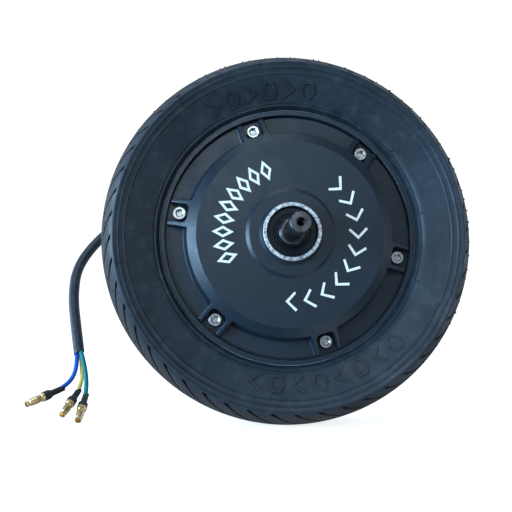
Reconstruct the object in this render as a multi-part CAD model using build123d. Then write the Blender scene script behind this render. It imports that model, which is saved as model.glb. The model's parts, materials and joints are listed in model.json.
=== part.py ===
"""Hub motor wheel: an outer-rotor scooter motor with a solid tyre, on a fixed axle.

Frame: the wheel turns about +Y, the origin is the centre of the wheel, +Z is up.
The front of the wheel faces -Y and the cable leaves the rear end of the axle at +Y.
Turned parts are drawn as (radius, depth) outlines, where depth is the distance in
front of the wheel's middle plane, so a point at depth d lies at y = -d.
"""
import os
from math import cos, hypot, pi, radians, sin, tan

from build123d import *

# ---- driving dimensions, mm ----
WHEEL_R = 100.0  # tyre radius at the crown
TYRE_HALF_WIDTH = 30.0
BEAD_R = 70.0  # foot of the sidewall, just outside the rim's lips
BEAD_DEPTH = 21.2
BEAD_BACK = 17.5  # back of the bead's step over the lip
CROWN_FLAT = 5.6  # half width of the straight middle of the tread
CROWN_R = 38.0  # radius of the tread's shoulder arcs
CROWN_TURN = 40.0  # degrees of arc from the flat to the shoulder
RIB_RADII = (85.4, 88.4)
RIB_HEIGHT = 0.35
RIB_HALF = 0.5

LIP_R = 68.4  # outside of the rim's lips
RIM_FACE = 18.8  # depth of the rim's front face
SEAT_R = 65.4  # counterbore that takes a cover
SEAT_DEPTH = 11.0
LIP_ROUND = 0.9
SEAT_ROUND = 0.4
CHANNEL_R = 63.5  # floor of the channel under the tyre
CHANNEL_HALF = 8.0
CHANNEL_TOP = 10.5  # depth where the channel's side reaches the lip
FIT = 0.05  # gap left between nested parts of one body

DISC_R = 48.9  # flat middle of the cover
DISC_FACE = 28.3
BOSS_R = 22.6
BOSS_FACE = 29.5
BOSS_SLOPE = 1.8  # width of the slope round the boss
NOSE_R = 15.1
NOSE_FACE = 36.0
NOSE_FLARE = 1.5  # slope at the foot of the nose
SEAL_SEAT_R = 13.0
SPIGOT_R = 51.5  # inside of the cover's thick edge
COVER_INSIDE = 24.3  # depth of the cover's flat inner face
HOUSING_R = 22.5  # outside of the bearing's housing
EDGE_R = 64.5  # outside of the cover, leaving a groove inside the rim
FLANGE_TOP = 15.3  # below this depth the cover fills the rim's seat
POCKET_FLOOR = 16.5  # depth of the six long pockets' flat floors
POCKET_R = 54.0  # inner edge of the pockets
POCKET_FOOT_R = 55.7  # foot of their drafted inner wall
POCKET_CORNER = 2.2
EDGE_ROUND = 0.6
FOOT_ROUND = 0.8
LAND_HALF = 7.3  # half width of the land that carries one screw

SCREWS = 6
SCREW_CIRCLE_R = 59.0
SCREW_AZIMUTH = 108.8  # first screw, degrees from +X towards +Z
SCREW_POCKET_HALF = 4.8
SCREW_POCKET_REACH = 4.5  # how far the pocket reaches inward of its screw
SCREW_POCKET_CORNER = 2.4
SCREW_FLOOR = 15.5
SCREW_R = 2.0
SCREW_LENGTH = 12.0
SCREW_HOLE = 9.0  # depth of the hole for it in the rim
SCREW_HEAD_R = 3.5
SCREW_HEAD = 4.0
HEX_ACROSS = 3.0
HEX_DEPTH = 2.0
SINK_R, SINK = 2.2, 0.5  # countersink at the socket's mouth

AXLE_END_R = 5.0
AXLE_R = 7.0  # in the seals and at the rear end
AXLE_BEARING_R = 7.5
AXLE_CORE_R = 9.0
AXLE_HALF = 68.4
STEP_FACE = 36.8  # where the front end steps up from the thin end
CENTRE_HOLE_R = 2.1
CABLE_BORE_R = 3.5
CABLE_BORE_START = 9.0  # y where the bore ends inside the axle
WINDOW = (7.0, 2.7, 12.0)  # slot from the bore up into the stator's space
WINDOW_Y = 12.75
REAR_END_R = 6.5
REAR_STEP = 37.5  # where the rear end steps down from the seal's size
GROMMET_SEAT_R = 4.5
GROMMET_SEAT = 6.0
FLAT_HALF = 5.5  # half the distance across the rear end's flats
FLAT_START = 52.0

BEARING_FACE = 14.5  # inner face of each bearing
BEARING_WIDTH = 11.0
BEARING_R = 17.5
RING_INNER_R = 10.2
RING_OUTER_R = 14.7
BALL_CIRCLE_R = 12.45
BALL_R = 2.97
BALLS = 8
FIRST_BALL = 15.0  # azimuth of the first ball, degrees
TRACK_PLAY = 0.06  # between a ball and its rings
CAGE_HALF_WALL = 0.8
CAGE_HALF_WIDTH = 3.8
CAGE_PLAY = 0.1  # between a ball and its pocket

STACK_HALF = 11.0  # laminations, magnets and back iron
STATOR_R = 47.6
STATOR_BORE_R = 28.0
YOKE_R = 33.5
TEETH = 27
TOOTH_WIDTH = 3.8
TIP_R = 45.6
SLOT_OPENING = 2.9  # degrees
INSULATOR = 1.0
COIL_SIDE = 1.9
COIL_IN_R = 35.5
COIL_OUT_R = 45.0
CARRIER_FRONT, CARRIER_BACK = 12.0, -7.0  # depths of the carrier's hub
WEB_FRONT, WEB_BACK = 3.0, -2.0
CARRIER_HUB_R, CARRIER_RIM_R = 13.0, 23.0
LIGHTENING_R = 3.2
KEY_WIDTH, KEY_LENGTH = 3.0, 14.0
KEY_Y = -2.0
GROOVE_WIDTH, GROOVE_CUT = 1.2, 0.7  # grooves of the two retaining rings
RETAINER_REACH = 2.0  # how far a retaining ring stands out of the axle's core

MAGNETS = 30
MAGNET_THICK = 2.7
MAGNET_WIDTH = 10.0
MAGNET_BACK = 51.0
IRON_IN_R = 51.3
IRON_OUT_R = 55.5

SHEATH_R = 3.1
WIRE_R = 1.28
MOUTH_R = 2.8  # inside of the sheath's open end
MOUTH_DEPTH = 3.2
GROMMET_END = 79.0
GROMMET_FLANGE_R, GROMMET_FLANGE = 5.6, 2.2
GROMMET_TIP_R = 4.2
LEAD_R, LEAD_GAP = 0.8, 1.9  # the three leads inside the axle, side by side
LEAD_FAN = 3.4  # their spacing where they reach the coils
LEAD_END = 57.9
SLEEVE_LENGTH = 12.5
SLEEVE_NARROW = 8.5  # length of the sleeve that grips the wire
CONNECTOR_LENGTH = 10.7  # length that shows past the sleeve

# Centreline of the sheath, from inside the axle's rear end to its free end.
SHEATH_ROUTE = [
    (0, 60, 0),
    (0, 80, 0),
    (-10, 99, 3),
    (-29, 111, 9),
    (-54, 112, 16),
    (-80, 102, 22),
    (-102, 86, 22.5),
    (-115, 69, 7.5),
    (-125.5, 57, -11),
    (-125.5, 47, -30),
    (-121.5, 38.5, -48.5),
    (-118, 32, -63.5),
]
# Centreline of each phase wire, from inside the sheath's end to its connector.
WIRE_ROUTES = {
    "blue": [(-120.06, 33, -61.18), (-118, 29.5, -69.3), (-122, 27.3, -81.6), (-131.3, 20.1, -85.7)],
    "yellow": [(-117.88, 34.38, -61.27), (-116.3, 32, -69.4), (-115.5, 28.4, -82.3), (-118.1, 17.8, -88.4)],
    "green": [(-117.88, 32, -60.24), (-114.2, 28.6, -68.6), (-111.8, 26.5, -84.4), (-112, 15.7, -90.8)],
}


# ---- helpers ----
def turned(outline, angle=360):
    """A solid turned about the wheel's axis from (radius, depth) points."""
    face = make_face(Polyline([(r, -depth) for r, depth in outline], close=True))
    return revolve(face, Axis.Y, angle)


def at(azimuth):
    """Turns a part from +X to an azimuth, counted from +X towards +Z."""
    return Rot(0, -azimuth, 0)


def around(part, count, start=0.0):
    return [at(start + i * 360 / count) * part for i in range(count)]


def to_rear(part):
    """The same part on the other side of the wheel."""
    return mirror(part, Plane.XZ)


def ring(inner, outer, near, far):
    return turned([(inner, near), (outer, near), (outer, far), (inner, far)])


def rod(radius, near, far, out=0.0):
    """A round bar along the axis direction, at a distance out along +X."""
    length = far - near
    bar = Cylinder(radius, length, rotation=(90, 0, 0))
    return Pos(out, -(near + far) / 2, 0) * bar


def corner_radii(points):
    """For each corner, 0.45 of its shorter run over the tangent of half its turn."""
    vectors = [Vector(*b) - Vector(*a) for a, b in zip(points, points[1:])]
    return [
        0.45 * min(a.length, b.length) / tan(radians(a.get_angle(b)) / 2)
        for a, b in zip(vectors, vectors[1:])
    ]


def tube(name, points, radius):
    """A round cord of straight runs joined by tangent arcs."""
    radii = corner_radii(points)
    path = FilletPolyline(points, radius=radii)
    start = Vector(*points[0])
    section = Plane(start, z_dir=Vector(*points[1]) - start) * Circle(radius)
    solid = sweep(section, path=path)
    share = solid.volume / (pi * radius**2 * path.length)
    print(f"{name}: length {path.length:.1f}, volume share {share:.4f}")
    print("  radii", [round(r, 1) for r in radii])
    return solid


# ---- tyre and rim ----
def tyre():
    turn = radians(CROWN_TURN)
    shoulder_r = WHEEL_R - CROWN_R * (1 - cos(turn))
    half_r = WHEEL_R - CROWN_R * (1 - cos(turn / 2))
    half_depth = CROWN_FLAT + CROWN_R * sin(turn / 2)
    slope = (TYRE_HALF_WIDTH - BEAD_DEPTH) / (shoulder_r - BEAD_R)

    def side(r):
        return BEAD_DEPTH + (r - BEAD_R) * slope

    wall = [(BEAD_R + 0.8, side(BEAD_R + 0.8) - 0.6), (BEAD_R + 1.4, side(BEAD_R + 1.4))]
    for rib in RIB_RADII:
        wall += [
            (rib - RIB_HALF, side(rib - RIB_HALF)),
            (rib, side(rib) + RIB_HEIGHT),
            (rib + RIB_HALF, side(rib + RIB_HALF)),
        ]
    inner = [
        (CHANNEL_R + FIT, CHANNEL_HALF),
        (LIP_R + FIT, CHANNEL_TOP),
        (LIP_R + FIT, BEAD_BACK),
        (BEAD_R, BEAD_BACK),
        (BEAD_R, BEAD_DEPTH),
    ]
    front = inner + wall
    rear = [(r, -depth) for r, depth in reversed(front)]
    front_edge = Polyline([(r, -d) for r, d in front] + [(shoulder_r, -TYRE_HALF_WIDTH)])
    rear_edge = Polyline([(shoulder_r, TYRE_HALF_WIDTH)] + [(r, -d) for r, d in rear])
    front_arc, rear_arc = [
        ThreePointArc((shoulder_r, -y), (half_r, -half), (WHEEL_R, -flat))
        for y, half, flat in (
            (TYRE_HALF_WIDTH, half_depth, CROWN_FLAT),
            (-TYRE_HALF_WIDTH, -half_depth, -CROWN_FLAT),
        )
    ]
    crown = Line((WHEEL_R, -CROWN_FLAT), (WHEEL_R, CROWN_FLAT))
    floor = Line((CHANNEL_R + FIT, CHANNEL_HALF), (CHANNEL_R + FIT, -CHANNEL_HALF))
    return revolve(make_face([front_edge, front_arc, crown, rear_arc, rear_edge, floor]), Axis.Y)


def lip_edges(shell, radius):
    """The edges of a given radius on both of the rim's end faces."""

    def chosen(edge):
        point = edge.position_at(0.5)
        return abs(hypot(point.X, point.Z) - radius) < 0.01 and abs(abs(point.Y) - RIM_FACE) < 0.01

    return shell.edges().filter_by(chosen)


def hub_shell():
    front = [
        (IRON_OUT_R + FIT, SEAT_DEPTH),
        (SEAT_R, SEAT_DEPTH),
        (SEAT_R, RIM_FACE),
        (LIP_R, RIM_FACE),
        (LIP_R, CHANNEL_TOP),
        (CHANNEL_R, CHANNEL_HALF),
    ]
    shell = turned(front + [(r, -depth) for r, depth in reversed(front)])
    shell = fillet(lip_edges(shell, LIP_R), LIP_ROUND)
    shell = fillet(lip_edges(shell, SEAT_R), SEAT_ROUND)
    hole = rod(SCREW_R + FIT, SEAT_DEPTH - SCREW_HOLE, SEAT_DEPTH, SCREW_CIRCLE_R)
    holes = around(hole, SCREWS, SCREW_AZIMUTH)
    return shell - holes - [to_rear(h) for h in holes]


# ---- covers ----
def cone_depth(r):
    """Depth of the cover's sloping face at a radius."""
    return DISC_FACE + (r - DISC_R) * (RIM_FACE + 0.2 - DISC_FACE) / (SEAT_R - DISC_R)


def pocket_cutter():
    """The six long pockets: a flat-floored ring less the lands of the screws."""
    above = 2.0
    top = DISC_FACE + above
    slope = (POCKET_FOOT_R - POCKET_R) / (cone_depth(POCKET_R) - POCKET_FLOOR)
    inner = POCKET_R - slope * (top - cone_depth(POCKET_R))
    beyond = SEAT_R + 1
    band = turned([(inner, top), (POCKET_FOOT_R, POCKET_FLOOR), (beyond, POCKET_FLOOR), (beyond, top)])
    plan = Circle(beyond + 1) - Circle(inner)
    for i in range(SCREWS):
        bar = Pos(SCREW_CIRCLE_R, 0) * Rectangle(40, 2 * LAND_HALF)
        plan -= Rot(0, 0, SCREW_AZIMUTH + i * 60) * bar
    corners = plan.vertices().filter_by(lambda v: hypot(v.X, v.Y) < inner + 1)
    plan = fillet(corners, POCKET_CORNER)
    columns = extrude(Plane((0, 0, 0), x_dir=(1, 0, 0), z_dir=(0, -1, 0)) * plan, top)
    return band & columns


def screw_pocket_cutter():
    """A pocket with two rounded corners over one screw, open towards the rim."""
    near, far = SCREW_CIRCLE_R - SCREW_POCKET_REACH, SEAT_R + 1
    plan = Pos((near + far) / 2, 0) * Rectangle(far - near, 2 * SCREW_POCKET_HALF)
    plan = fillet(plan.vertices().sort_by(Axis.X)[:2], SCREW_POCKET_CORNER)
    floor = Plane((0, -SCREW_FLOOR, 0), x_dir=(1, 0, 0), z_dir=(0, -1, 0))
    hole = rod(SCREW_R + 0.2, SEAT_DEPTH - 1, DISC_FACE, SCREW_CIRCLE_R)
    return extrude(floor * plan, DISC_FACE - SCREW_FLOOR) + hole


def on_the_slope(edge):
    """Whether an edge bounds a pocket's mouth, on the cover's sloping face."""
    for point in (edge.position_at(u) for u in (0.0, 0.5, 1.0)):
        r = hypot(point.X, point.Z)
        if r < DISC_R + 1 or abs(-point.Y - cone_depth(r)) > 0.02:
            return False
    middle = edge.position_at(0.5)
    return hypot(middle.X, middle.Z) < EDGE_R - 0.3


def at_the_foot(edge):
    """Whether an edge is where a long pocket's walls meet its floor."""
    for point in (edge.position_at(u) for u in (0.05, 0.5, 0.95)):
        if not POCKET_R < hypot(point.X, point.Z) < EDGE_R - 0.3:
            return False
        if abs(-point.Y - POCKET_FLOOR) > 0.02:
            return False
    return True


def cover():
    outline = [
        (SEAL_SEAT_R, NOSE_FACE - 0.3),
        (SEAL_SEAT_R + 0.3, NOSE_FACE),
        (NOSE_R - 0.4, NOSE_FACE),
        (NOSE_R, NOSE_FACE - 0.4),
        (NOSE_R, BOSS_FACE + NOSE_FLARE),
        (NOSE_R + NOSE_FLARE, BOSS_FACE),
        (BOSS_R - BOSS_SLOPE / 2, BOSS_FACE),
        (BOSS_R + BOSS_SLOPE / 2, DISC_FACE),
        (DISC_R, DISC_FACE),
        (EDGE_R, cone_depth(EDGE_R)),
        (EDGE_R, FLANGE_TOP),
        (SEAT_R - FIT, FLANGE_TOP),
        (SEAT_R - FIT, SEAT_DEPTH),
        (SPIGOT_R, SEAT_DEPTH),
        (SPIGOT_R, 18.5),
        (48.5, 23.0),
        (46.0, COVER_INSIDE),
        (HOUSING_R, COVER_INSIDE),
        (HOUSING_R, BEARING_FACE),
        (BEARING_R + FIT, BEARING_FACE),
        (BEARING_R + FIT, BEARING_FACE + BEARING_WIDTH),
        (SEAL_SEAT_R, BEARING_FACE + BEARING_WIDTH),
    ]
    body = turned(outline) - pocket_cutter()
    body -= around(screw_pocket_cutter(), SCREWS, SCREW_AZIMUTH)
    body = fillet(body.edges().filter_by(on_the_slope), EDGE_ROUND)
    return fillet(body.edges().filter_by(at_the_foot), FOOT_ROUND)


def cover_screw():
    head_top = SCREW_FLOOR + SCREW_HEAD
    screw = rod(SCREW_R, SCREW_FLOOR - SCREW_LENGTH, SCREW_FLOOR, SCREW_CIRCLE_R)
    head = turned(
        [
            (0, SCREW_FLOOR),
            (SCREW_HEAD_R, SCREW_FLOOR),
            (SCREW_HEAD_R, head_top - 0.4),
            (SCREW_HEAD_R - 0.4, head_top),
            (SINK_R, head_top),
            (HEX_ACROSS / 2, head_top - SINK),
            (0, head_top - SINK),
        ]
    )
    hexagon = RegularPolygon(HEX_ACROSS / 2, 6, major_radius=False)
    hexagon = Plane((SCREW_CIRCLE_R, -head_top, 0), z_dir=(0, 1, 0)) * hexagon
    return screw + Pos(SCREW_CIRCLE_R, 0, 0) * head - extrude(hexagon, HEX_DEPTH)


def seal():
    """Lip seal: a ring pressed in the cover's nose, its lip running on the axle."""
    back, face = BEARING_FACE + BEARING_WIDTH + 1.2, 33.4
    lip = AXLE_R + FIT
    return turned(
        [
            (SEAL_SEAT_R - FIT, back),
            (SEAL_SEAT_R - FIT, face - 0.5),
            (SEAL_SEAT_R - 0.55, face),
            (9.6, face),
            (9.2, face - 0.8),
            (8.4, face - 0.8),
            (7.9, face + 0.7),
            (lip + 0.3, face + 0.9),
            (lip, face + 0.6),
            (lip, face - 1.6),
            (7.6, face - 2.4),
            (8.8, face - 2.8),
            (9.4, back),
        ]
    )


# ---- rotor magnets ----
def magnets():
    block = Box(MAGNET_THICK, 2 * STACK_HALF - 1, MAGNET_WIDTH)
    return around(Pos(MAGNET_BACK - MAGNET_THICK / 2, 0, 0) * block, MAGNETS, 180 / MAGNETS)


# ---- bearings ----
def bearing_inner_ring():
    body = ring(AXLE_BEARING_R + 0.01, RING_INNER_R, BEARING_FACE, BEARING_FACE + BEARING_WIDTH)
    return body - ball_track()


def bearing_outer_ring():
    body = ring(RING_OUTER_R, BEARING_R, BEARING_FACE, BEARING_FACE + BEARING_WIDTH)
    return body - ball_track()


def ball_track():
    middle = BEARING_FACE + BEARING_WIDTH / 2
    circle = Pos(BALL_CIRCLE_R, -middle) * Circle(BALL_R + TRACK_PLAY)
    return revolve(circle, Axis.Y)


def balls():
    middle = BEARING_FACE + BEARING_WIDTH / 2
    return around(Pos(BALL_CIRCLE_R, -middle, 0) * Sphere(BALL_R), BALLS, FIRST_BALL)


def cage():
    middle = BEARING_FACE + BEARING_WIDTH / 2
    inner, outer = BALL_CIRCLE_R - CAGE_HALF_WALL, BALL_CIRCLE_R + CAGE_HALF_WALL
    body = ring(inner, outer, middle - CAGE_HALF_WIDTH, middle + CAGE_HALF_WIDTH)
    pocket = Cylinder(BALL_R + CAGE_PLAY, 5 * CAGE_HALF_WALL, rotation=(0, 90, 0))
    return body - around(Pos(BALL_CIRCLE_R, -middle, 0) * pocket, BALLS, FIRST_BALL)


# ---- stator ----
def stator_plan(with_tips):
    """The tooth pattern in plan, seen along the axle."""
    reach = TIP_R + 0.3 if with_tips else TIP_R - 0.4
    plan = Circle(YOKE_R) - Circle(STATOR_BORE_R)
    pitch = 360 / TEETH
    tips = Circle(STATOR_R) - Circle(TIP_R)
    slots = Sketch()
    for i in range(TEETH):
        tooth = Pos((YOKE_R - 1 + reach) / 2, 0) * Rectangle(reach - YOKE_R + 1, TOOTH_WIDTH)
        plan += Rot(0, 0, i * pitch) * tooth
        opening = 2 * STATOR_R * sin(radians(SLOT_OPENING / 2))
        slots += Rot(0, 0, (i + 0.5) * pitch) * Pos(STATOR_R, 0) * Rectangle(8, opening)
    return plan + (tips - slots) if with_tips else plan


def stator_core():
    plan = Plane((0, STACK_HALF, 0), x_dir=(1, 0, 0), z_dir=(0, -1, 0)) * stator_plan(True)
    return extrude(plan, 2 * STACK_HALF)


def slot_insulator():
    plan = Plane((0, -STACK_HALF, 0), x_dir=(1, 0, 0), z_dir=(0, -1, 0)) * stator_plan(False)
    return extrude(plan, INSULATOR)


def coils():
    radial = COIL_OUT_R - COIL_IN_R
    wide = TOOTH_WIDTH + 0.2
    tall = 2 * (STACK_HALF + INSULATOR + FIT)
    outside = Box(radial, tall + 2 * COIL_SIDE + 0.6, wide + 2 * COIL_SIDE)
    outside = fillet(outside.edges().filter_by(Axis.X), 1.4)
    coil = outside - Box(radial + 1, tall, wide)
    return around(Pos((COIL_IN_R + COIL_OUT_R) / 2, 0, 0) * coil, TEETH)


def stator_carrier():
    """Spider that carries the laminations on the axle, with six lightening holes."""
    bore, rim = AXLE_CORE_R + 0.01, STATOR_BORE_R - 0.01
    body = turned(
        [
            (bore, CARRIER_FRONT),
            (CARRIER_HUB_R, CARRIER_FRONT),
            (CARRIER_HUB_R, WEB_FRONT),
            (CARRIER_RIM_R, WEB_FRONT),
            (CARRIER_RIM_R, STACK_HALF),
            (rim, STACK_HALF),
            (rim, -STACK_HALF),
            (CARRIER_RIM_R, -STACK_HALF),
            (CARRIER_RIM_R, WEB_BACK),
            (CARRIER_HUB_R, WEB_BACK),
            (CARRIER_HUB_R, CARRIER_BACK),
            (bore, CARRIER_BACK),
        ]
    )
    hole = rod(LIGHTENING_R, WEB_BACK - 1, WEB_FRONT + 1, (CARRIER_HUB_R + CARRIER_RIM_R) / 2)
    body -= around(hole, 6, 30)
    return body - key_bar(KEY_WIDTH, 2 * KEY_LENGTH)


def key_bar(width, length):
    """A square bar sunk half way into the bottom of the axle's core."""
    return Pos(0, KEY_Y, -AXLE_CORE_R) * Box(width, length, width)


def key():
    return key_bar(KEY_WIDTH - FIT, KEY_LENGTH - 2 * FIT)


def axle():
    """One turned bar: thin front end, seal and bearing seats, thick core, flatted rear end."""
    front = [
        (0, AXLE_HALF),
        (AXLE_END_R - 0.4, AXLE_HALF),
        (AXLE_END_R, AXLE_HALF - 0.4),
        (AXLE_END_R, STEP_FACE),
        (AXLE_R - 1.1, STEP_FACE),
        (AXLE_R, STEP_FACE - 1.1),
        (AXLE_R, BEARING_FACE + BEARING_WIDTH),
        (AXLE_BEARING_R, BEARING_FACE + BEARING_WIDTH),
        (AXLE_BEARING_R, BEARING_FACE),
        (AXLE_CORE_R, BEARING_FACE),
    ]
    rear = [
        (AXLE_CORE_R, -BEARING_FACE),
        (AXLE_BEARING_R, -BEARING_FACE),
        (AXLE_BEARING_R, -BEARING_FACE - BEARING_WIDTH),
        (AXLE_R, -BEARING_FACE - BEARING_WIDTH),
        (AXLE_R, -REAR_STEP),
        (REAR_END_R, -REAR_STEP),
        (REAR_END_R, -AXLE_HALF + 0.6),
        (REAR_END_R - 0.6, -AXLE_HALF),
        (0, -AXLE_HALF),
    ]
    body = turned(front + rear)
    for near in (CARRIER_FRONT, CARRIER_BACK - GROOVE_WIDTH):
        body -= ring(AXLE_CORE_R - GROOVE_CUT, AXLE_CORE_R + 1, near, near + GROOVE_WIDTH)
    body -= turned(
        [
            (0, AXLE_HALF),
            (CENTRE_HOLE_R, AXLE_HALF),
            (CENTRE_HOLE_R, AXLE_HALF - 2.6),
            (0.9, AXLE_HALF - 3.2),
            (0.9, AXLE_HALF - 6.0),
            (0, AXLE_HALF - 6.5),
        ]
    )
    body -= rod(CABLE_BORE_R, -AXLE_HALF, -CABLE_BORE_START)
    body -= rod(GROMMET_SEAT_R, -AXLE_HALF, -AXLE_HALF + GROMMET_SEAT)
    body -= Pos(0, WINDOW_Y, WINDOW[2] / 2) * Box(*WINDOW)
    body -= key_bar(KEY_WIDTH, KEY_LENGTH)
    flat = Box(10, AXLE_HALF - FLAT_START + 1, 20)
    along = (AXLE_HALF + 1 + FLAT_START) / 2
    for side in (-1, 1):
        body -= Pos(side * (FLAT_HALF + 5), along, 0) * flat
    return body


def retaining_ring(groove):
    """A snap ring with an open gap, in the groove that starts at this depth."""
    near, width = groove + 0.02, GROOVE_WIDTH - FIT
    body = ring(AXLE_CORE_R - GROOVE_CUT + FIT, AXLE_CORE_R + RETAINER_REACH, near, near + width)
    gap = Box(4 * RETAINER_REACH, 2 * GROOVE_WIDTH, 2 * RETAINER_REACH)
    return body - Pos(AXLE_CORE_R, -near - width / 2, 0) * gap


# ---- cable ----
def inner_leads():
    """Three leads from the coils through the axle's window to the cable."""
    leads = []
    for side in (-1, 0, 1):
        along = WINDOW_Y + 0.1
        top = (LEAD_FAN * side, along, COIL_IN_R - 0.4)
        points = [(LEAD_GAP * side, LEAD_END, 0), (LEAD_GAP * side, along, 0), top]
        path = FilletPolyline(points, radius=3 * LEAD_R)
        section = Plane(Vector(*points[0]), z_dir=(0, -1, 0)) * Circle(LEAD_R)
        leads.append(sweep(section, path=path))
    return leads


def cable_grommet():
    bore = SHEATH_R + FIT
    end = AXLE_HALF
    return turned(
        [
            (bore, -(end - GROMMET_SEAT + 0.1)),
            (GROMMET_SEAT_R - FIT, -(end - GROMMET_SEAT + 0.1)),
            (GROMMET_SEAT_R - FIT, -end),
            (GROMMET_FLANGE_R, -end),
            (GROMMET_FLANGE_R, -(end + GROMMET_FLANGE)),
            (GROMMET_TIP_R, -GROMMET_END),
            (bore, -GROMMET_END),
        ]
    )


def route_end(points):
    """A frame at the end of a route, its local z pointing on along the route."""
    end, before = Vector(*points[-1]), Vector(*points[-2])
    return Plane(end, z_dir=end - before)


def spun(frame, outline):
    """A solid turned from (radius, distance) points about the z axis of a frame."""
    face = make_face(Plane.XZ * Polyline(outline, close=True))
    return frame.location * revolve(face, Axis.Z)


def cable_sheath():
    body = tube("cable_sheath", SHEATH_ROUTE, SHEATH_R)
    outline = [(0, 0.5), (MOUTH_R, 0.5), (MOUTH_R, -MOUTH_DEPTH), (0, -MOUTH_DEPTH)]
    return body - spun(route_end(SHEATH_ROUTE), outline)


def phase_sleeve(points):
    """Shrink sleeve over the end of a wire and the back of its connector."""
    tail = SLEEVE_LENGTH - SLEEVE_NARROW
    wire, back = WIRE_R + FIT, 2.0 + FIT
    outline = [
        (wire, -SLEEVE_NARROW),
        (WIRE_R + 0.4, -SLEEVE_NARROW),
        (WIRE_R + 0.55, -1.2),
        (2.7, 0.6),
        (2.8, tail),
        (back, tail),
        (back, 0),
        (wire, 0),
    ]
    return spun(route_end(points), outline)


def phase_connector(points):
    """Male bullet: a barrel in the sleeve, a collar, a slotted spring body and a ring nose."""
    tail = SLEEVE_LENGTH - SLEEVE_NARROW
    end = tail + CONNECTOR_LENGTH
    outline = [
        (0, 0),
        (2.0, 0),
        (2.0, tail),
        (2.65, tail),
        (2.65, tail + 1.3),
        (1.95, tail + 1.6),
        (2.25, tail + 4.5),
        (1.95, end - 2.2),
        (1.45, end - 1.9),
        (1.45, end - 1.5),
        (1.7, end - 1.3),
        (1.7, end),
        (1.2, end),
        (1.2, end - 2.6),
        (0, end - 2.6),
    ]
    frame = route_end(points)
    body = spun(frame, outline)
    slot = Pos(0, 0, tail + 4.8) * Box(0.3, 6, 4.6)
    for angle in (0, 90):
        body -= frame.location * Rot(0, 0, angle) * slot
    return body


# ---- the parts ----
front_cover = cover()
front_screws = around(cover_screw(), SCREWS, SCREW_AZIMUTH)
balls_front = balls()

parts = {
    "tyre": tyre(),
    "hub_shell": hub_shell(),
    "front_cover": front_cover,
    "rear_cover": to_rear(front_cover),
    "front_cover_screws": front_screws,
    "rear_cover_screws": [to_rear(s) for s in front_screws],
    "front_axle_seal": seal(),
    "rear_axle_seal": to_rear(seal()),
    "back_iron_ring": ring(IRON_IN_R, IRON_OUT_R, -STACK_HALF, STACK_HALF),
    "magnets": magnets(),
    "front_bearing_outer_ring": bearing_outer_ring(),
    "rear_bearing_outer_ring": to_rear(bearing_outer_ring()),
    "front_bearing_inner_ring": bearing_inner_ring(),
    "rear_bearing_inner_ring": to_rear(bearing_inner_ring()),
    "front_bearing_balls": balls_front,
    "rear_bearing_balls": [to_rear(b) for b in balls_front],
    "front_bearing_cage": cage(),
    "rear_bearing_cage": to_rear(cage()),
    "axle": axle(),
    "stator_carrier": stator_carrier(),
    "carrier_key": key(),
    "front_retaining_ring": retaining_ring(CARRIER_FRONT),
    "rear_retaining_ring": retaining_ring(CARRIER_BACK - GROOVE_WIDTH),
    "stator_core": stator_core(),
    "front_slot_insulator": slot_insulator(),
    "rear_slot_insulator": to_rear(slot_insulator()),
    "coils": coils(),
    "inner_phase_leads": inner_leads(),
    "cable_grommet": cable_grommet(),
    "cable_sheath": cable_sheath(),
}
for colour, route in WIRE_ROUTES.items():
    parts[f"{colour}_phase_wire"] = tube(f"{colour}_phase_wire", route, WIRE_R)
    parts[f"{colour}_phase_sleeve"] = phase_sleeve(route)
    parts[f"{colour}_phase_connector"] = phase_connector(route)

os.makedirs("parts", exist_ok=True)
for name, part in parts.items():
    shape = Compound(children=list(part)) if isinstance(part, list) else part
    export_step(shape, f"parts/{name}.step")
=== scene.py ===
import json
from math import cos, degrees, pi, radians, sin
from random import Random

import bpy
from mathutils import Euler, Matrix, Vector


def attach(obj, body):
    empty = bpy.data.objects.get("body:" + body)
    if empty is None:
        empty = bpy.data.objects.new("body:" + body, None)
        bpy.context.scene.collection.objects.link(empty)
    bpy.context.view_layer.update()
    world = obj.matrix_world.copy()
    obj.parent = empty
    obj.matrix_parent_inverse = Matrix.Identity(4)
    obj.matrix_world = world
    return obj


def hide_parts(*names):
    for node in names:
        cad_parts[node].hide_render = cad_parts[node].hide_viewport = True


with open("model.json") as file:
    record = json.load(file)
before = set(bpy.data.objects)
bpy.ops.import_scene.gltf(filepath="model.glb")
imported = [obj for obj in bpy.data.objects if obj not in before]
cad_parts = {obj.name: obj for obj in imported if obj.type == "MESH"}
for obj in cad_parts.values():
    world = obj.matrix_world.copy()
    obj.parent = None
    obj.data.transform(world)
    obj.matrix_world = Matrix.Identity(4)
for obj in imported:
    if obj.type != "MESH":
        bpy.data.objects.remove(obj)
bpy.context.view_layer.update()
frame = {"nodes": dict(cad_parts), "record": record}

MM = 0.001
nodes = frame["nodes"]
scene = bpy.context.scene

# ---- the object's own sizes, mm ----
# Depth is the distance in front of the wheel's middle plane, towards -Y.
WHEEL_R = 100.0  # tyre radius at the crown
FLOOR = -WHEEL_R
CROWN_FLAT = 5.6  # half width of the straight middle of the tread
CROWN_R = 38.0  # radius of the tread's shoulder arcs
CROWN_TURN = 40.0  # degrees of arc from the flat to the shoulder
BEAD_R, BEAD_DEPTH = 70.0, 21.2  # foot of the sidewall
HALF_WIDTH = 30.0  # of the tyre
SHOULDER_R = WHEEL_R - CROWN_R * (1 - cos(radians(CROWN_TURN)))
WALL_SLOPE = (HALF_WIDTH - BEAD_DEPTH) / (SHOULDER_R - BEAD_R)
RIBS = (85.4, 88.4)  # radii of the sidewall's two ribs
DISC_FACE = 28.3  # depth of the cover's flat face
NOSE_FACE = 36.0  # depth of the nose's bare end face
CENTRE_HOLE_R = 2.1  # in the axle's ends
SHEATH_R, WIRE_R, MOUTH_R = 3.1, 1.28, 2.8
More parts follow.
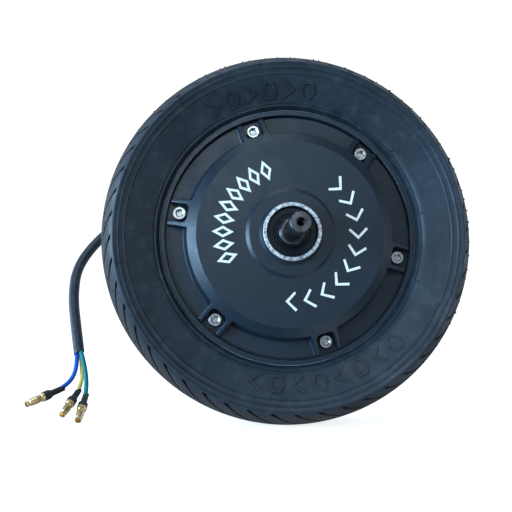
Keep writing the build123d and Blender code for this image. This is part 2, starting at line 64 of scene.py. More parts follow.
SHEATH_ROUTE = [
    (0, 60, 0),
    (0, 80, 0),
    (-10, 99, 3),
    (-29, 111, 9),
    (-54, 112, 16),
    (-80, 102, 22),
    (-102, 86, 22.5),
    (-115, 69, 7.5),
    (-125.5, 57, -11),
    (-125.5, 47, -30),
    (-121.5, 38.5, -48.5),
    (-118, 32, -63.5),
]
WIRE_ROUTES = {
    "blue": [
        (-120.06, 33, -61.18),
        (-118, 29.5, -69.3),
        (-122, 27.3, -81.6),
        (-131.3, 20.1, -85.7),
    ],
    "yellow": [
        (-117.88, 34.38, -61.27),
        (-116.3, 32, -69.4),
        (-115.5, 28.4, -82.3),
        (-118.1, 17.8, -88.4),
    ],
    "green": [
        (-117.88, 32, -60.24),
        (-114.2, 28.6, -68.6),
        (-111.8, 26.5, -84.4),
        (-112, 15.7, -90.8),
    ],
}

# ---- camera ----
CAMERA_PLACE = (-39.63, -372.40, -45.86)  # mm
CAMERA_TURN = (95.625, 0.067, -3.568)  # degrees
SENSOR_WIDTH, LENS = 36.0, 47.49  # mm
NEAR_CLIP = 0.01

camera_data = bpy.data.cameras.new("camera")
camera_data.sensor_width = SENSOR_WIDTH
camera_data.lens = LENS
camera_data.clip_start = NEAR_CLIP
camera = bpy.data.objects.new("camera", camera_data)
scene.collection.objects.link(camera)
camera.location = Vector(CAMERA_PLACE) * MM
camera.rotation_euler = Euler([radians(a) for a in CAMERA_TURN])
scene.camera = camera
scene.view_settings.view_transform = "Standard"


# ---- node materials ----
class Shader:
    """A principled material with short calls for the nodes in front of it."""

    def __init__(self, name, **sockets):
        self.material = bpy.data.materials.new(name)
        self.material.use_nodes = True
        self.tree = self.material.node_tree
        self.principled = self.tree.nodes["Principled BSDF"]
        self.coordinates = self.add("ShaderNodeTexCoord").outputs["Object"]
        for socket, value in sockets.items():
            self.principled.inputs[socket.replace("_", " ")].default_value = value

    def add(self, kind, **settings):
        node = self.tree.nodes.new(kind)
        for key, value in settings.items():
            setattr(node, key, value)
        return node

    def feed(self, socket, value):
        if isinstance(value, (int, float, tuple)):
            socket.default_value = value
        else:
            self.tree.links.new(value, socket)

    def noise(self, scale, detail=3.0, rough=0.55):
        node = self.add("ShaderNodeTexNoise")
        self.feed(node.inputs["Vector"], self.coordinates)
        node.inputs["Scale"].default_value = scale
        node.inputs["Detail"].default_value = detail
        node.inputs["Roughness"].default_value = rough
        return node.outputs["Fac"]

    def math(self, operation, a, b=0.0):
        node = self.add("ShaderNodeMath", operation=operation)
        self.feed(node.inputs[0], a)
        self.feed(node.inputs[1], b)
        return node.outputs[0]

    def step(self, value, low, high, out_low=0.0, out_high=1.0):
        """A smooth rise from out_low to out_high while the value goes from low to high."""
        node = self.add("ShaderNodeMapRange", interpolation_type="SMOOTHSTEP")
        self.feed(node.inputs["Value"], value)
        self.feed(node.inputs["From Min"], low)
        self.feed(node.inputs["From Max"], high)
        self.feed(node.inputs["To Min"], out_low)
        self.feed(node.inputs["To Max"], out_high)
        return node.outputs[0]

    def product(self, a, b):
        return self.math("MULTIPLY", a, b)

    def mix(self, share, a, b):
        """Colour a where the share is 0, colour b where it is 1."""
        node = self.add("ShaderNodeMix", data_type="RGBA")
        self.feed(node.inputs[0], share)
        for socket, value in ((node.inputs[6], a), (node.inputs[7], b)):
            self.feed(socket, (*value, 1.0) if isinstance(value, tuple) else value)
        return node.outputs[2]

    def part(self, axis):
        """One coordinate, in mm."""
        node = self.add("ShaderNodeSeparateXYZ")
        self.feed(node.inputs[0], self.coordinates)
        return self.product(node.outputs[axis], 1 / MM)

    def radius(self):
        """Distance from the wheel's axis, in mm."""
        x, z = self.part("X"), self.part("Z")
        return self.math("SQRT", self.math("ADD", self.product(x, x), self.product(z, z)))

    def colour(self, value):
        self.feed(self.principled.inputs["Base Color"], value)

    def rough(self, value):
        self.feed(self.principled.inputs["Roughness"], value)

    def bump(self, height, distance, strength=1.0, after=None):
        """Relief up to distance mm deep, on top of an earlier relief if there is one."""
        node = self.add("ShaderNodeBump")
        node.inputs["Strength"].default_value = strength
        node.inputs["Distance"].default_value = distance * MM
        self.feed(node.inputs["Height"], height)
        if after is not None:
            self.feed(node.inputs["Normal"], after)
        self.feed(self.principled.inputs["Normal"], node.outputs[0])
        return node.outputs[0]


GLOSS_SPREAD = 0.07  # how far a plain finish's roughness strays either way


def plain(
    name, colour, rough, metal=0.0, vary=0.25, scale=120.0, grain=900.0, depth=0.02, **sockets
):
    """A finish of one colour with mottling, uneven gloss and a fine grain depth mm deep."""
    s = Shader(name, Metallic=metal, **sockets)
    mottle = s.noise(scale, 4.0)
    darker = tuple(c * (1 - vary) for c in colour)
    lighter = tuple(min(1.0, c * (1 + vary)) for c in colour)
    s.colour(s.mix(s.step(mottle, 0.3, 0.7), darker, lighter))
    glossy, matt = max(0.03, rough - GLOSS_SPREAD), rough + GLOSS_SPREAD
    s.rough(s.step(s.noise(scale * 1.7), 0.3, 0.7, glossy, matt))
    s.bump(s.noise(grain), depth)
    return s.material


TREAD_START, TREAD_FULL = 92.2, 95.5  # radii where the running surface's look sets in


def rubber_material():
    """Black tyre rubber with a blue cast, and a painted reflection of a brown floor on the running
    surface.
    """
    dark, pale = (0.0095, 0.0165, 0.0255), (0.0155, 0.0265, 0.040)
    scuff, reflected_brown = (0.035, 0.047, 0.058), (0.046, 0.034, 0.028)
    s = Shader("tyre_rubber", Specular_IOR_Level=0.42)
    base = s.mix(s.step(s.noise(22.0, 5.0), 0.35, 0.65), dark, pale)
    scuffs = s.step(s.noise(160.0, 6.0), 0.50, 0.68)
    scuffed = s.mix(s.product(scuffs, 0.5), base, scuff)
    running = s.step(s.radius(), TREAD_START, TREAD_FULL)
    # Painted reflection: a brown tint on the running surface stands in for the brown floor it
    # reflects.
    reflected_brown_share = s.product(running, s.step(s.noise(45.0, 5.0), 0.35, 0.7, 0.45, 1.0))
    s.colour(s.mix(reflected_brown_share, scuffed, reflected_brown))
    worn = s.product(running, 0.2)
    s.rough(s.math("ADD", worn, s.step(s.noise(60.0, 5.0), 0.3, 0.7, 0.36, 0.56)))
    soft = s.bump(s.noise(28.0), 0.35, 0.5)
    s.bump(s.noise(1400.0), 0.03, 0.7, after=soft)
    return s.material


LIP_HIGHLIGHT_START, LIP_HIGHLIGHT_FULL = 67.8, 68.1  # radii of the painted highlight line round the rim's lip


def paint_material(name, bare_nose):
    """Satin black powder coat on a casting, bare on the nose's end, with a painted highlight along
    the rim's lip.
    """
    s = Shader(name, Specular_IOR_Level=0.4)
    fleck = s.step(s.noise(2600.0, 2.0), 0.45, 0.75)
    paint = s.mix(s.product(fleck, 0.5), (0.009, 0.018, 0.030), (0.022, 0.036, 0.052))
    rough = s.step(s.noise(90.0, 4.0), 0.3, 0.7, 0.33, 0.43)
    if bare_nose:
        depth = s.math("ABSOLUTE", s.part("Y"))
        ragged = s.math("ADD", depth, s.product(s.noise(700.0, 4.0), 0.5))
        bare = s.step(ragged, NOSE_FACE - 0.15, NOSE_FACE - 0.05)
        blotch = s.step(s.noise(850.0, 5.0, rough=0.75), 0.42, 0.60)
        metal = s.mix(blotch, (0.27, 0.30, 0.33), (0.82, 0.86, 0.90))
        s.colour(s.mix(bare, paint, metal))
        s.feed(s.principled.inputs["Metallic"], s.product(bare, 0.75))
        painted = s.product(rough, s.math("SUBTRACT", 1.0, bare))
        rough = s.math("ADD", painted, s.product(bare, 0.42))
    else:
        # Painted highlight: a lighter bluish line on the rim's rounded lip stands in for the light
        # it catches.
        patchy = s.step(s.noise(60.0, 4.0), 0.3, 0.6, 0.3, 1.0)
        lip_highlight = s.product(s.step(s.radius(), LIP_HIGHLIGHT_START, LIP_HIGHLIGHT_FULL), patchy)
        s.colour(s.mix(lip_highlight, paint, (0.30, 0.36, 0.42)))
    s.rough(rough)
    soft = s.bump(s.noise(70.0, 2.0), 0.12, 0.5)
    s.bump(s.noise(1150.0), 0.085, 0.8, after=soft)
    return s.material


def turned_steel(name, colour, rough, pitch, hole=0.0):
    """Stained turned steel with fine rings, pitch mm apart, and painted shade in its hole."""
    s = Shader(name, Metallic=1.0)
    stain = s.step(s.noise(150.0, 5.0), 0.35, 0.7)
    finish = s.mix(stain, colour, tuple(c * 0.55 for c in colour))
    if hole:
        # Painted shade: the inside of the centre hole is painted near black.
        outside = s.step(s.radius(), hole, hole + 0.15)
        finish = s.mix(outside, (0.03, 0.03, 0.035), finish)
    s.colour(finish)
    s.rough(s.step(s.noise(240.0, 4.0), 0.3, 0.7, rough - 0.08, rough + 0.1))
    reach = s.math("ADD", s.radius(), s.part("Y"))
    rings = s.math("SINE", s.product(reach, 2 * pi / pitch))
    s.bump(rings, 0.006, 0.6)
    return s.material


def insulation(name, colour, vary):
    """The soft plastic round a phase wire."""
    return plain(name, colour, 0.42, vary=vary, scale=300.0, Specular_IOR_Level=0.3)


materials = {
    "tyre_rubber": rubber_material(),
    "rim_paint": paint_material("rim_paint", False),
    "cover_paint": paint_material("cover_paint", True),
    "screw_steel": plain(
        "screw_steel", (0.50, 0.51, 0.51), 0.34, 1.0, vary=0.06, scale=300.0, depth=0.002
    ),
    "seal_rubber": plain(
        "seal_rubber",
        (0.002, 0.006, 0.011),
        0.42,
        vary=0.3,
        scale=300.0,
        Specular_IOR_Level=0.26,
    ),
    "back_iron": turned_steel("back_iron", (0.32, 0.32, 0.33), 0.4, 0.5),
    "magnet": plain("magnet", (0.66, 0.65, 0.62), 0.28, 1.0, vary=0.1),
    "bearing_steel": turned_steel("bearing_steel", (0.62, 0.62, 0.64), 0.22, 0.25),
    "ball_steel": plain("ball_steel", (0.8, 0.8, 0.82), 0.08, 1.0, vary=0.05, depth=0.002),
    "cage_steel": plain("cage_steel", (0.5, 0.5, 0.52), 0.35, 1.0),
    "axle_steel": turned_steel(
        "axle_steel", (0.13, 0.135, 0.15), 0.25, 0.32, hole=CENTRE_HOLE_R - 0.05
    ),
    "carrier_aluminium": plain(
        "carrier_aluminium", (0.6, 0.61, 0.63), 0.45, 1.0, grain=600.0, depth=0.06
    ),
    "spring_steel": plain("spring_steel", (0.1, 0.1, 0.11), 0.35, 1.0),
    "lamination_steel": plain("lamination_steel", (0.3, 0.3, 0.32), 0.45, 1.0),
    "insulator_plastic": plain("insulator_plastic", (0.72, 0.70, 0.63), 0.5, vary=0.06),
    "coil_copper": plain(
        "coil_copper", (0.42, 0.15, 0.05), 0.3, 0.8, grain=1300.0, depth=0.25
    ),
    "lead_insulation": plain("lead_insulation", (0.35, 0.05, 0.04), 0.5, vary=0.1),
    "grommet_rubber": plain("grommet_rubber", (0.016, 0.018, 0.022), 0.5, vary=0.3),
    "sheath_plastic": plain(
        "sheath_plastic", (0.022, 0.030, 0.042), 0.42, scale=260.0, grain=700.0, depth=0.05
    ),
    "blue_insulation": insulation("blue_insulation", (0.003, 0.095, 0.52), 0.12),
    "yellow_insulation": insulation("yellow_insulation", (0.82, 0.63, 0.17), 0.10),
    "green_insulation": insulation("green_insulation", (0.003, 0.20, 0.215), 0.12),
    "shrink_sleeve": plain(
        "shrink_sleeve", (0.014, 0.015, 0.017), 0.48, vary=0.3, scale=500.0, grain=500.0, depth=0.12
    ),
    "gold_plate": plain(
        "gold_plate", (0.88, 0.64, 0.33), 0.28, 1.0, vary=0.05, scale=300.0, depth=0.001
    ),
    "marking_paint": plain(
        "marking_paint",
        (0.92, 0.90, 0.82),
        0.55,
        vary=0.07,
        scale=900.0,
        grain=1500.0,
        depth=0.03,
    ),
}
slot_of = {row["node"]: row["material_slot"] for row in frame["record"]["subparts"]}
for name, node in nodes.items():
    node.data.materials.clear()
    node.data.materials.append(materials[slot_of[name]])


# ---- mesh helpers ----
def new_mesh(name, points, faces, slot, body, sharp=35.0):
    """A mesh piece from points in mm, smooth but for its sharp edges."""
    mesh = bpy.data.meshes.new(name)
    mesh.from_pydata([Vector(p) * MM for p in points], [], faces)
    mesh.validate()
    mesh.shade_smooth()
    mesh.set_sharp_from_angle(angle=radians(sharp))
    piece = bpy.data.objects.new(name, mesh)
    scene.collection.objects.link(piece)
    mesh.materials.append(materials[slot])
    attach(piece, body)
    return piece


def polar(radius, azimuth, depth):
    """A point from its distance to the axis, azimuth from +X towards +Z, and depth in front."""
    a = radians(azimuth)
    return (radius * cos(a), -depth, radius * sin(a))


def wall_depth(r):
    """Depth of the tyre's sloping sidewall at a radius."""
    return BEAD_DEPTH + (r - BEAD_R) * WALL_SLOPE


# ---- cable ----
def cord_curve(name, route, radius, slot, body="stator"):
    """A round cord along a route of points in mm, fixed to the axle's end."""
    curve = bpy.data.curves.new(name, "CURVE")
    curve.dimensions = "3D"
    spline = curve.splines.new("NURBS")
    spline.points.add(len(route) - 1)
    for point, place in zip(spline.points, route):
        point.co = (*(Vector(place) * MM), 1.0)
    spline.order_u = 3
    spline.use_endpoint_u = True
    spline.resolution_u = 14
    curve.bevel_depth = radius * MM
    curve.bevel_resolution = 6
    curve.use_fill_caps = True
    piece = bpy.data.objects.new(name, curve)
    scene.collection.objects.link(piece)
    curve.materials.append(materials[slot])
    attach(piece, body)
    return piece


def lathe(name, start, along, outline, slot, body, sides):
    """A turned piece: a closed outline of (radius, distance) in mm spun about a line."""
    along = Vector(along).normalized()
    across = along.orthogonal().normalized()
    third = along.cross(across)
    points, faces = [], []
    count = len(outline)
    for i in range(sides):
        a = 2 * pi * i / sides
        out = across * cos(a) + third * sin(a)
        points += [Vector(start) + along * d + out * r for r, d in outline]
    for i in range(sides):
        j = (i + 1) % sides
        for k in range(count):
            m = (k + 1) % count
            faces.append((i * count + k, i * count + m, j * count + m, j * count + k))
    return new_mesh(name, points, faces, slot, body)


MOUTH = 3.0  # length of the jacket's open end, mm
MOUTH_OVERLAP = 0.6  # how far the open end reaches back over the jacket
SLANT = 0.8  # how much longer the jacket is on its far left than at its middle
MOUTH_OUTSIDE = SHEATH_R - 0.02
end, before = Vector(SHEATH_ROUTE[-1]), Vector(SHEATH_ROUTE[-2])
along = (end - before).normalized()
jacket_route = SHEATH_ROUTE[:-1] + [tuple(end - along * MOUTH)]
jacket = cord_curve("sheath_jacket", jacket_route, SHEATH_R, "sheath_plastic")
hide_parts("cable_sheath")
mouth = lathe(
    "sheath_mouth",
    end - along * (MOUTH + MOUTH_OVERLAP),
    along,
    [
        (MOUTH_R, 0),
        (MOUTH_OUTSIDE, 0),
        (MOUTH_OUTSIDE, MOUTH - SLANT),
        (MOUTH_OUTSIDE, MOUTH + 0.4),
        (SHEATH_R - 0.07, MOUTH + 0.55),
        (SHEATH_R - 0.2, MOUTH + 0.6),
        (MOUTH_R, MOUTH + 0.45),
    ],
    "sheath_plastic",
    "stator",
    sides=40,
)
# The end is cut on a slant: its rim moves along the cord by how far left it lies.
for vertex in mouth.data.vertices:
    beyond = (vertex.co / MM - end).dot(along)
    if beyond > -SLANT:
        vertex.co += along * (end.x - vertex.co.x / MM) / SHEATH_R * SLANT * MM
for colour, route in WIRE_ROUTES.items():
    wire = cord_curve(f"{colour}_wire", route, WIRE_R, f"{colour}_insulation")
    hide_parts(f"{colour}_phase_wire")


# ---- tyre ----
PITCHES = 48  # cuts round each side of the tread
SIPE_START, SIPE_END = 1.6, 19.0  # a cut's ends, mm from the shoulder along the arc
SIPE_LEAN = 12.2  # degrees a cut runs round the tyre
SIPE_CURVE = 0.85  # below 1, a cut leans more near the shoulder
SIPE_HALF, SIPE_DEPTH = 1.45, 2.2  # a cut's half width and depth at the shoulder
SIPE_SLOPE = 0.4  # width of a cut's sloping side
SIPE_EDGE = 0.5  # plain strip kept beside a cut, mm
SIPE_DROP, SIPE_FADE = 0.35, 0.5  # length in which a cut drops in at its start and runs out
SIPE_RING_STEP = 1.15  # between rings of points in the bent part of a cut
SIPE_TAPER = 0.55  # share of its width that a cut loses towards the crown
SIPE_RISE = 0.25  # share of its depth that a cut loses towards the crown
HOOK_TURN = 1.1  # degrees by which a cut's wide end bends back
HOOK_SHARE = 0.11  # share of a cut's length in that bend
BEAD_PROFILE = [  # radius and depth, from the rim's channel out to the bead's round edge
    (63.6, 0),
    (63.6, 8.0),
    (68.5, 10.5),
    (68.5, 17.6),
    (68.7, 18.3),
    (69.1, 19.4),
    (69.5, 20.4),
    (69.8, 21.0),
    (70.15, 21.2),
]
WALL_PROFILE = [  # radius, and how far the surface lies behind the plain sidewall
    (70.6, 0.35),
    (70.9, 0.55),
    (71.3, 0.25),
    (71.7, 0.0),
    (73.5, 0.0),
    (77.0, 0.12),
    (81.0, 0.12),
    (84.2, 0.0),
]
RIB_PROFILE = [(-0.6, 0.0), (-0.3, 0.12), (-0.12, 0.36), (0.12, 0.36), (0.3, 0.12), (0.6, 0.0)]


def on_tread(s):
    """Radius, depth and turn of the surface's normal, s mm from the shoulder along the arc."""
    turn = radians(CROWN_TURN) - s / CROWN_R
    return WHEEL_R - CROWN_R * (1 - cos(turn)), CROWN_FLAT + CROWN_R * sin(turn), turn


def tyre_rows():
    """The outline as (radius, depth, distance from the shoulder along the tread or None)."""
    rows = [(r, depth, None) for r, depth in BEAD_PROFILE]
    rows += [(r, wall_depth(r) - sunk, None) for r, sunk in WALL_PROFILE]
    for rib in RIBS:
        for offset, height in RIB_PROFILE:
            rows.append((rib + offset, wall_depth(rib + offset) + height, None))
    last = SHOULDER_R - 0.35
    rows += [(90.2, wall_depth(90.2), None), (last, wall_depth(last) + 0.02, None)]
    total = radians(CROWN_TURN) * CROWN_R
    # Rings of points on the tread, closest where the cuts bend.
    marks = [0.35, 1.0, SIPE_START, SIPE_START + SIPE_DROP]
    marks += [SIPE_START + SIPE_DROP + k * SIPE_RING_STEP for k in range(1, 9)]
    marks += [12.6, 14.2, 15.8, 17.2, SIPE_END - SIPE_FADE, SIPE_END, SIPE_END + 1.5]
    marks += [22.5, 25.0, total]
    for s in marks:
        r, depth, _ = on_tread(s)
        rows.append((r, depth, s))
    rows.append((WHEEL_R, CROWN_FLAT / 2, total + CROWN_FLAT / 2))
    rows.append((WHEEL_R, 0.0, total + CROWN_FLAT))
    return rows


def sipe_columns(pitch):
    """Offsets in mm round the tyre from a cut's middle, with how far down the cut each one is."""
    a, b = SIPE_HALF, SIPE_HALF - SIPE_SLOPE
    edge = a + SIPE_EDGE
    cut = [(-edge, 0), (-a, 0), (-b, 1), (0, 1), (b, 1), (a, 0), (edge, 0)]
    left = pitch - 2 * edge
    return cut + [(edge + left * k / 6, 0) for k in range(1, 6)]


def sipe_lean(share):
    """Degrees that a cut has run round the tyre at a share of its length."""
    return SIPE_LEAN * share**SIPE_CURVE + HOOK_TURN * max(0.0, 1 - share / HOOK_SHARE)


def tread_point(r, depth, s, start, offset, down):
    """A point of the tread, leaned round the tyre and sunk where it lies in a cut."""
    share = min(1.0, max(0.0, (s - SIPE_START) / (SIPE_END - SIPE_START)))
    cut = SIPE_DEPTH * down * (1 - SIPE_RISE * share) * (SIPE_START < s < SIPE_END)
    width = 1 - SIPE_TAPER * share if abs(offset) <= SIPE_HALF else 1.0
    azimuth = start + degrees(offset * width / WHEEL_R)
    turn = max(0.0, radians(CROWN_TURN) - s / CROWN_R) * (1 if depth >= 0 else -1)
    return polar(r - cut * cos(turn), azimuth + sipe_lean(share), depth - cut * sin(turn))


def tyre():
    """The tyre with its cut tread, in place of the plain one."""
    front = tyre_rows()
    rear = [(r, -d, s) for r, d, s in reversed(front[1:-1])]
    rows = front + rear
    pitch = 2 * pi * WHEEL_R / PITCHES
    starts = [i * 360 / PITCHES for i in range(PITCHES)]
    columns = [(start, offset, down) for start in starts for offset, down in sipe_columns(pitch)]
    points, faces = [], []
    for start, offset, down in columns:
        for r, d, s in rows:
            if s is None:
                points.append(polar(r, start + degrees(offset / WHEEL_R), d))
            else:
                points.append(tread_point(r, d, s, start, offset, down))
    n, m = len(columns), len(rows)
    for i in range(n):
        j = (i + 1) % n
        for k in range(m):
            q = (k + 1) % m
            faces.append((i * m + k, i * m + q, j * m + q, j * m + k))
    piece = new_mesh("tyre_tread", points, faces, "tyre_rubber", "wheel", sharp=28.0)
    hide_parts("tyre")


tyre()


# ---- marks ----
def ribbon(line, width):
    """The two sides of a stroke along a line of (across, up) points."""
    sides = []
    for k, (x, y) in enumerate(line):
        a = Vector(line[max(0, k - 1)])
        b = Vector((x, y))
        c = Vector(line[min(len(line) - 1, k + 1)])
        first = (b - a).normalized() if k else (c - b).normalized()
        second = (c - b).normalized() if k < len(line) - 1 else first
        normal = Vector((-(first + second).y, (first + second).x)).normalized()
        reach = width / 2 / max(0.4, normal.dot(Vector((-first.y, first.x))))
        sides.append((b + normal * reach, b - normal * reach))
    return sides


STROKE_ROOT = 0.15  # how far a stroke reaches into the surface under it, mm


def strokes(name, glyphs, place, thick, slot, width):
    """Strokes laid on the wheel; place(across, up, azimuth) gives radius, azimuth and depth."""
    points, faces = [], []
    for azimuth, lines in glyphs:
        for line in lines:
            base = len(points)
            sides = ribbon(line, width)
            for pair in sides:
                for x, y in pair:
                    r, a, depth = place(x, y, azimuth)
                    points += [polar(r, a, depth + thick), polar(r, a, depth - STROKE_ROOT)]
            for k in range(len(sides) - 1):
                p = base + 4 * k
                q = p + 4
                faces += [(p, q, q + 2, p + 2), (p + 1, p + 3, q + 3, q + 1)]
                faces += [(p, p + 1, q + 1, q), (p + 2, q + 2, q + 3, p + 3)]
            last = base + 4 * (len(sides) - 1)
            faces += [(base, base + 2, base + 3, base + 1), (last, last + 1, last + 3, last + 2)]
    new_mesh(name, points, faces, slot, "wheel", sharp=30.0)


PRINT_FOOT_R, PRINT_MIDDLE_R = 30.0, 35.0  # of the print on the cover
MARK_FOOT_R, MARK_MIDDLE_R = 72.6, 77.0  # of the marks moulded on the sidewall


def on_disc(x, y, azimuth):
    """Place on the cover's flat face."""
    return PRINT_FOOT_R + y, azimuth - degrees(x / PRINT_MIDDLE_R), DISC_FACE


def on_wall(x, y, azimuth):
    """Place on the sidewall."""
    r = MARK_FOOT_R + y
    return r, azimuth - degrees(x / MARK_MIDDLE_R), wall_depth(r)


def spread(first, last, count):
    """Azimuths of the middles of count equal places between two azimuths."""
    return [first + (last - first) * (i + 0.5) / count for i in range(count)]


CHEVRON = [[(-2.6, 0.6), (1.9, 5.25), (-2.6, 9.9)]]
DIAMOND = [[(1.15, 3.075), (2.3, 5.25), (0, 9.6), (-2.3, 5.25), (0, 0.9), (1.15, 3.075)]]
printed = [(a, CHEVRON) for a in spread(52.7, -98, 10)]
printed += [(a, DIAMOND) for a in spread(207, 106, 9)]
strokes("printed_marks", printed, on_disc, 0.05, "marking_paint", 1.3)

HEXAGON_CORNERS = [radians(60 * k) for k in range(7)]
HEXAGON = [[(3.4 * cos(a), 4.8 + 4.4 * sin(a)) for a in HEXAGON_CORNERS]]
ARROW = [[(-2.8, 0.8), (2.6, 4.8), (-2.8, 8.8)]]
moulded = [(a, HEXAGON if i % 2 else ARROW) for i, a in enumerate(spread(125, 79, 6))]
moulded += [(a, ARROW if i % 2 else HEXAGON) for i, a in enumerate(spread(318, 252, 8))]
strokes("sidewall_marks", moulded, on_wall, 0.85, "tyre_rubber", 0.9)

VENT_AZIMUTHS = [10 + 30 * k for k in range(12)]
VENT_RADII = (71.9, 88.4, 90.9)
NUB_SIDES = 8
NUB_FOOT_R, NUB_TOP_R = 0.42, 0.26
NUB_ROOT = 0.3  # how far a stub reaches into the rubber


def vent_lines():
    """Thin radial lines left by the mould's vents, on both sides of the ribs."""
    line = [[(0, -1.6), (0, 0.6)], [(0, 11.6), (0, 17.6)]]
    glyphs = [(azimuth, line) for azimuth in VENT_AZIMUTHS]
    strokes("vent_lines", glyphs, on_wall, 0.16, "tyre_rubber", 0.45)


def nub(r, middle, tall, base):
    """Points and faces of one stub of rubber on the sidewall, its points counted from base."""
    points, faces = [], []
    n = NUB_SIDES
    for level, radius in ((-NUB_ROOT, NUB_FOOT_R), (0.0, NUB_FOOT_R), (tall, NUB_TOP_R)):
        for side in range(n):
            a = 2 * pi * side / n
            azimuth = middle + degrees(radius * sin(a) / r)
            points.append(polar(r + radius * cos(a), azimuth, wall_depth(r) + level))
    for level in range(2):
        for side in range(n):
            i, j = base + level * n + side, base + level * n + (side + 1) % n
            faces.append((i, j, j + n, i + n))
    faces.append(tuple(base + 2 * n + side for side in range(n)))
    faces.append(tuple(base + n - 1 - side for side in range(n)))
    return points, faces


def vent_nubs():
    """Cut-off stubs of rubber at the ends of the vent lines."""
    random = Random(7)
    points, faces = [], []
    for azimuth in VENT_AZIMUTHS:
        for r in VENT_RADII:
            middle = azimuth + random.uniform(-0.5, 0.5)
            tall = random.uniform(0.5, 1.3)
            more_points, more_faces = nub(r, middle, tall, len(points))
            points += more_points
            faces += more_faces
    new_mesh("vent_nubs", points, faces, "tyre_rubber", "wheel")


vent_lines()
vent_nubs()

FLASH_ROOT = 0.25  # how far a tooth of flash reaches into the rubber, mm
FLASH_THIN = 0.25  # half its thickness
FLASH_POINT = 0.4  # its width at the top over its width at the foot


def flash_tooth(s, half, tall, middle, side, base):
    """Points and faces of one tooth standing on the tread, its points counted from base."""
    r, depth, turn = on_tread(s)
    points, faces = [], []
    for level, width in ((-FLASH_ROOT, half), (tall, half * FLASH_POINT)):
        for across, along in ((-1, -1), (1, -1), (1, 1), (-1, 1)):
            down = along * FLASH_THIN
            radius = r + level * cos(turn) - down * sin(turn)
            out = depth + level * sin(turn) + down * cos(turn)
            azimuth = middle + degrees(across * width / WHEEL_R)
            points.append(polar(radius, azimuth, side * out))
    for i in range(4):
        j = (i + 1) % 4
        faces.append((base + i, base + j, base + 4 + j, base + 4 + i))
    faces += [(base + 4, base + 5, base + 6, base + 7), (base + 3, base + 2, base + 1, base)]
    return points, faces


def tread_flash():
    """Thin teeth of moulding flash left standing beside the tread's cuts."""
    random = Random(11)
    points, faces = [], []
    for side in (1, -1):
        for k in range(PITCHES * 2):
            s = random.uniform(8.5, 13.5)
            share = (s - SIPE_START) / (SIPE_END - SIPE_START)
            half = random.uniform(0.35, 0.9)
            tall = random.uniform(0.15, 0.65)
            beside = degrees((SIPE_HALF + half) / WHEEL_R)
            middle = k * 180 / PITCHES + beside + sipe_lean(share)
            tooth = flash_tooth(s, half, tall, middle, side, len(points))
            points += tooth[0]
            faces += tooth[1]
    new_mesh("tread_flash", points, faces, "tyre_rubber", "wheel")


tread_flash()


# ---- floor, background and light ----
def glow(name, colour, strength, diffuse):
    """A matt finish that also shines by itself."""
    material = bpy.data.materials.new(name)
    material.use_nodes = True
    principled = material.node_tree.nodes["Principled BSDF"]
    principled.inputs["Base Color"].default_value = (*diffuse, 1)
    principled.inputs["Roughness"].default_value = 1.0
    principled.inputs["Specular IOR Level"].default_value = 0.0
    principled.inputs["Emission Color"].default_value = (*colour, 1)
    principled.inputs["Emission Strength"].default_value = strength
    return material


def stage_piece(name, mesh, material):
    """A piece that only the camera sees, so it neither lights nor shades the wheel."""
    piece = bpy.data.objects.new(name, mesh)
    scene.collection.objects.link(piece)
    mesh.materials.append(material)
    for ray in ("diffuse", "glossy", "transmission", "shadow", "volume_scatter"):
        setattr(piece, f"visible_{ray}", False)


WHITE, PALE, BLACK = (1, 1, 1), (0.8, 0.8, 0.8), (0, 0, 0)
FLOOR_REACH = 4.0  # half the floor's side, m
DOME_R, DOME_DROP, DOME_SIDES = 3.9, 0.1, 36


def floor():
    mesh = bpy.data.meshes.new("floor")
    corners = [(-1, -1), (1, -1), (1, 1), (-1, 1)]
    points = [(x * FLOOR_REACH, y * FLOOR_REACH, FLOOR * MM) for x, y in corners]
    mesh.from_pydata(points, [], [(0, 1, 2, 3)])
    stage_piece("floor", mesh, glow("floor", WHITE, 0.8, PALE))


def backdrop():
    """A white dome over the floor."""
    mesh = bpy.data.meshes.new("backdrop")
    n = DOME_SIDES
    rises = [radians(t) for t in range(-10, 91, 10)]
    rings = [(DOME_R * cos(t), DOME_R * sin(t) - DOME_DROP) for t in rises]
    turns = [2 * pi * i / n for i in range(n)]
    points = [(r * cos(a), r * sin(a), z) for r, z in rings for a in turns]
    faces = []
    for k in range(len(rings) - 1):
        for i in range(n):
            j = (i + 1) % n
            faces.append((k * n + i, k * n + j, (k + 1) * n + j, (k + 1) * n + i))
    mesh.from_pydata(points, [], faces)
    stage_piece("backdrop", mesh, glow("backdrop", WHITE, 1.15, BLACK))


floor()
backdrop()

world = bpy.data.worlds.new("studio")
scene.world = world
world.use_nodes = True

SKY_COLOUR = (0.72, 0.90, 1.10, 1.0)


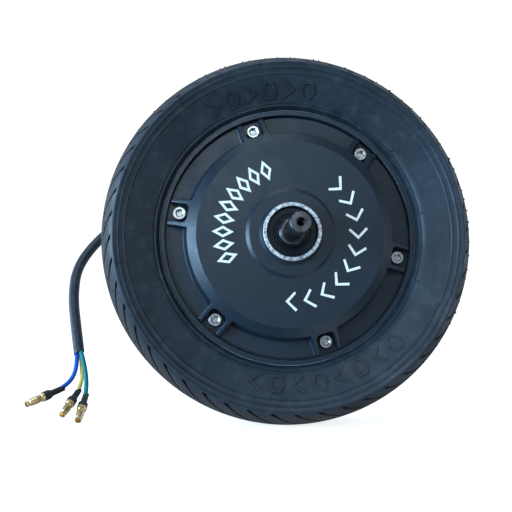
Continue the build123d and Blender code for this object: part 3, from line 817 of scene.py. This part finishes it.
def sky_light(front, behind, below):
    """Pale bluish light, stronger from behind the wheel than from in front and from below."""
    tree = world.node_tree
    split = tree.nodes.new("ShaderNodeSeparateXYZ")
    tree.links.new(tree.nodes.new("ShaderNodeTexCoord").outputs["Generated"], split.inputs[0])

    def ramp(value, low, high, out_low, out_high):
        node = tree.nodes.new("ShaderNodeMapRange")
        node.interpolation_type = "SMOOTHSTEP"
        tree.links.new(value, node.inputs["Value"])
        node.inputs["From Min"].default_value = low
        node.inputs["From Max"].default_value = high
        node.inputs["To Min"].default_value = out_low
        node.inputs["To Max"].default_value = out_high
        return node.outputs[0]

    product = tree.nodes.new("ShaderNodeMath")
    product.operation = "MULTIPLY"
    tree.links.new(ramp(split.outputs["Y"], -0.15, 0.45, front, behind), product.inputs[0])
    tree.links.new(ramp(split.outputs["Z"], -0.7, 0.15, below, 1.0), product.inputs[1])
    sky = tree.nodes["Background"]
    sky.inputs["Color"].default_value = SKY_COLOUR
    tree.links.new(product.outputs[0], sky.inputs["Strength"])


sky_light(0.33, 0.74, 0.50)

COOL, SOFT, BRIGHT = (0.42, 0.70, 1.0), (0.78, 0.93, 1.0), (0.85, 0.95, 1.0)
LIGHTS = [  # name, place in m, width and height in m, watts, colour
    ("left_window", (-1.3, -0.75, -0.03), (0.7, 0.8), 38.0, COOL),
    ("left_edge", (-1.4, 0.45, 0.2), (0.5, 0.8), 7.0, (0.55, 0.80, 1.0)),
    ("low_strip", (-0.55, -0.05, -1.1), (0.22, 1.6), 2.0, (0.70, 0.88, 1.0)),
    ("top_fill", (-0.2, -0.42, 1.4), (1.0, 0.6), 4.0, SOFT),
    ("front_fill", (-0.2, -2.3, 0.8), (0.8, 0.8), 11.5, SOFT),
    ("low_fill", (0.55, -0.65, -0.95), (0.5, 0.5), 1.6, SOFT),
    ("right_fill", (1.3, -0.8, 0.1), (0.8, 0.8), 2.8, BRIGHT),
]


def area_light(name, place, size, watts, colour):
    """A rectangular light that faces the wheel's centre."""
    data = bpy.data.lights.new(name, "AREA")
    data.shape = "RECTANGLE"
    data.size, data.size_y = size
    data.energy = watts
    data.color = colour
    light = bpy.data.objects.new(name, data)
    scene.collection.objects.link(light)
    light.location = place
    light.rotation_euler = (-Vector(place)).to_track_quat("-Z", "Y").to_euler()


for row in LIGHTS:
    area_light(*row)
